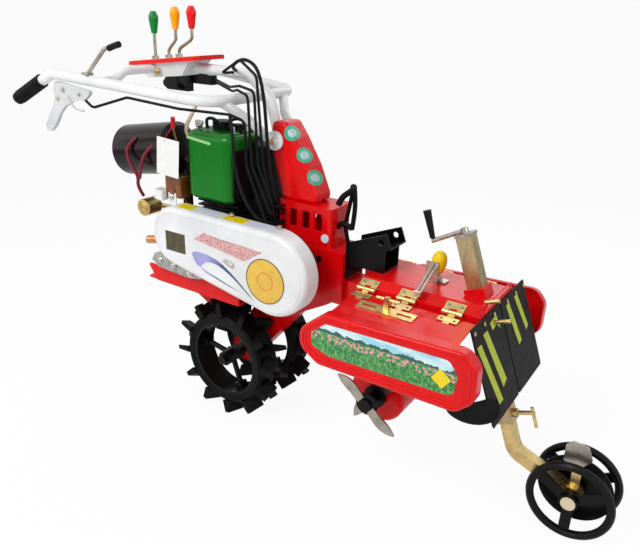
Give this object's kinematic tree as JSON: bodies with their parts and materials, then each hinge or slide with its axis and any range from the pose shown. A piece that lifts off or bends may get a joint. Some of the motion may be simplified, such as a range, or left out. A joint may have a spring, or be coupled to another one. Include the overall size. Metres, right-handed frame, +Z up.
{
  "type": "furrow ridger",
  "caption": "Walk-behind ridging tiller: two lugged drive wheels, air-cooled engine, bladed rotor under a winged hood, crank-set depth wheels and a tall handlebar.",
  "frame": {"origin": "centre of the bounding box seen from above, on the ground", "axes": "+X from the handle grips to the depth wheels, +Y away from the belt cover, +Z up"},
  "size_m": [1.9008, 0.6802, 1.285],
  "materials": {
    "red_paint": "glossy",
    "white_paint": "glossy",
    "green_paint": "glossy",
    "black_paint": "satin",
    "wheel_paint": "satin",
    "zinc_gold": "satin",
    "steel": "satin",
    "engine_casting": "rough",
    "tyre_rubber": "matte",
    "black_rubber": "matte",
    "black_plastic": "satin",
    "green_knob": "glossy",
    "yellow_grip": "glossy",
    "orange_knob": "glossy",
    "red_knob": "glossy"
  },
  "bodies": {
    "chassis": {"transmission": "red_paint", "engine_bed": "red_paint", "column_cover": "red_paint", "shift_housing": "red_paint", "chain_case": "red_paint", "tiller_hood": "red_paint", "console_plate": "red_paint", "belt_cover": "white_paint", "handle_loop": "white_paint", "handle_supports": "white_paint", "console_tube": "white_paint", "console_box": "white_paint", "clutch_lever": "white_paint", "fuel_tank": "green_paint", "belt_backplate": "black_paint", "fan_shroud": "black_paint", "air_cleaner": "black_paint", "hitch_bracket": "black_paint", "cover_window": "black_paint", "lock_lever": "black_paint", "engine_block": "engine_casting", "engine_cylinder": "engine_casting", "hinge_hood": "zinc_gold", "fuel_filter": "zinc_gold", "link_rods": "zinc_gold", "clamp_screw": "zinc_gold", "post_sleeve": "steel", "lever_rods": "steel", "zinc_lever": "steel", "post_crank": "steel", "wing_lever": "steel", "flap_near": "black_rubber", "flap_far": "black_rubber", "grip_near": "black_rubber", "grip_far": "black_rubber", "control_cables": "black_rubber", "tank_cap": "black_plastic", "switch_block": "black_plastic", "crank_handle": "black_plastic", "lever_grip": "yellow_grip", "knob_green": "green_knob", "knob_orange": "orange_knob", "knob_red": "red_knob"},
    "wheel_near": {"tyre_near": "tyre_rubber", "wheel_near": "wheel_paint"},
    "wheel_far": {"tyre_far": "tyre_rubber", "wheel_far": "wheel_paint"},
    "rotor": {"rotor_shaft": "wheel_paint", "rotor_blades": "steel"},
    "wing_near": {"wing_near": "red_paint", "hinge_wing_near": "zinc_gold", "wing_link": "zinc_gold"},
    "wing_far": {"wing_far": "red_paint", "hinge_wing_far": "zinc_gold"},
    "depth_arm": {"depth_arm": "zinc_gold", "scraper_plate": "steel"},
    "depth_wheels": {"depth_ring_near": "wheel_paint", "depth_ring_far": "wheel_paint", "depth_axle": "wheel_paint", "depth_disc": "wheel_paint"}
  },
  "joints": [
    {"name": "wheel_near_turn", "type": "hinge", "parent": "chassis", "child": "wheel_near", "pos_m": [-0.27358, -0.095, 0.2], "axis": [0, 1, 0], "continuous": true},
    {"name": "wheel_far_turn", "type": "hinge", "parent": "chassis", "child": "wheel_far", "pos_m": [-0.27358, 0.095, 0.2], "axis": [0, 1, 0], "continuous": true},
    {"name": "rotor_turn", "type": "hinge", "parent": "chassis", "child": "rotor", "pos_m": [0.27942, 0, 0.252], "axis": [0, 1, 0], "continuous": true},
    {"name": "wing_near_lift", "type": "hinge", "parent": "chassis", "child": "wing_near", "pos_m": [0.38492, -0.125, 0.586], "axis": [-1, 0, 0], "range_deg": [0, 45]},
    {"name": "wing_far_lift", "type": "hinge", "parent": "chassis", "child": "wing_far", "pos_m": [0.38492, 0.125, 0.586], "axis": [1, 0, 0], "range_deg": [0, 55]},
    {"name": "depth_slide", "type": "slide", "parent": "chassis", "child": "depth_arm", "axis": [0.342, 0, -0.9397], "range_m": [-0.06, 0.06]},
    {"name": "depth_wheels_turn", "type": "hinge", "parent": "depth_arm", "child": "depth_wheels", "pos_m": [0.83642, 0, 0.114], "axis": [0, 1, 0], "continuous": true}
  ]
}
